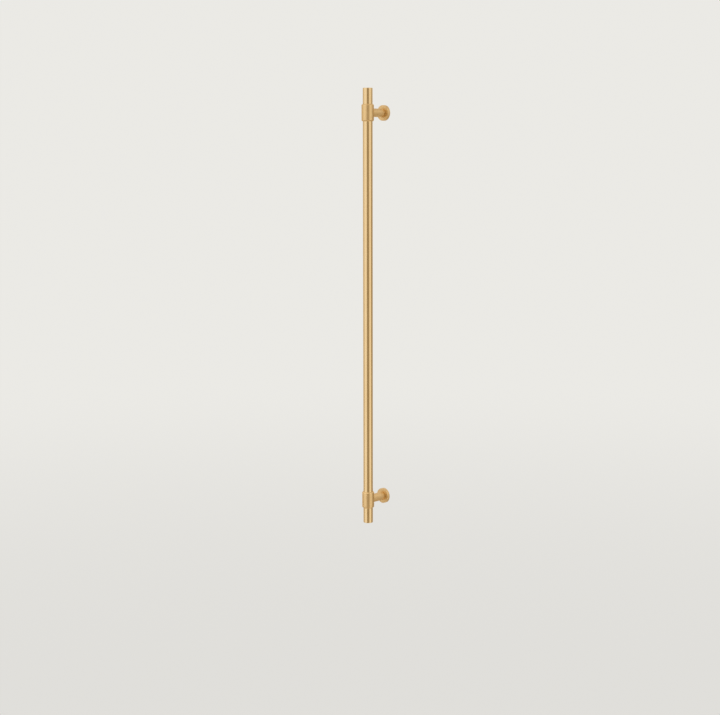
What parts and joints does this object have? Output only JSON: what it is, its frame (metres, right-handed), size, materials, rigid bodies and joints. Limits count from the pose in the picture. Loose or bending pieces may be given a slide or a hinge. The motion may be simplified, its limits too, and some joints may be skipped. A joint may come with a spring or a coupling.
{
  "type": "door pull handle",
  "caption": "Long straight bar door pull in satin brass, with collars, round posts and small round roses.",
  "frame": {"origin": "on the door's face, midway between the two fixing holes", "axes": "+Z along the bar, up the door; -Y out of the door towards the bar; +X across the door"},
  "size_m": [0.02, 0.0395, 0.575],
  "materials": {
    "bar_brass": "satin, brushed lengthwise",
    "fitting_brass": "satin, brushed round the turned parts",
    "screw_steel": "plain zinc plated steel"
  },
  "bodies": {
    "root": {"bar": "bar_brass", "upper_collar": "fitting_brass", "lower_collar": "fitting_brass", "upper_post": "fitting_brass", "lower_post": "fitting_brass", "upper_rose": "fitting_brass", "lower_rose": "fitting_brass", "upper_joining_screw": "screw_steel", "lower_joining_screw": "screw_steel"}
  },
  "joints": []
}
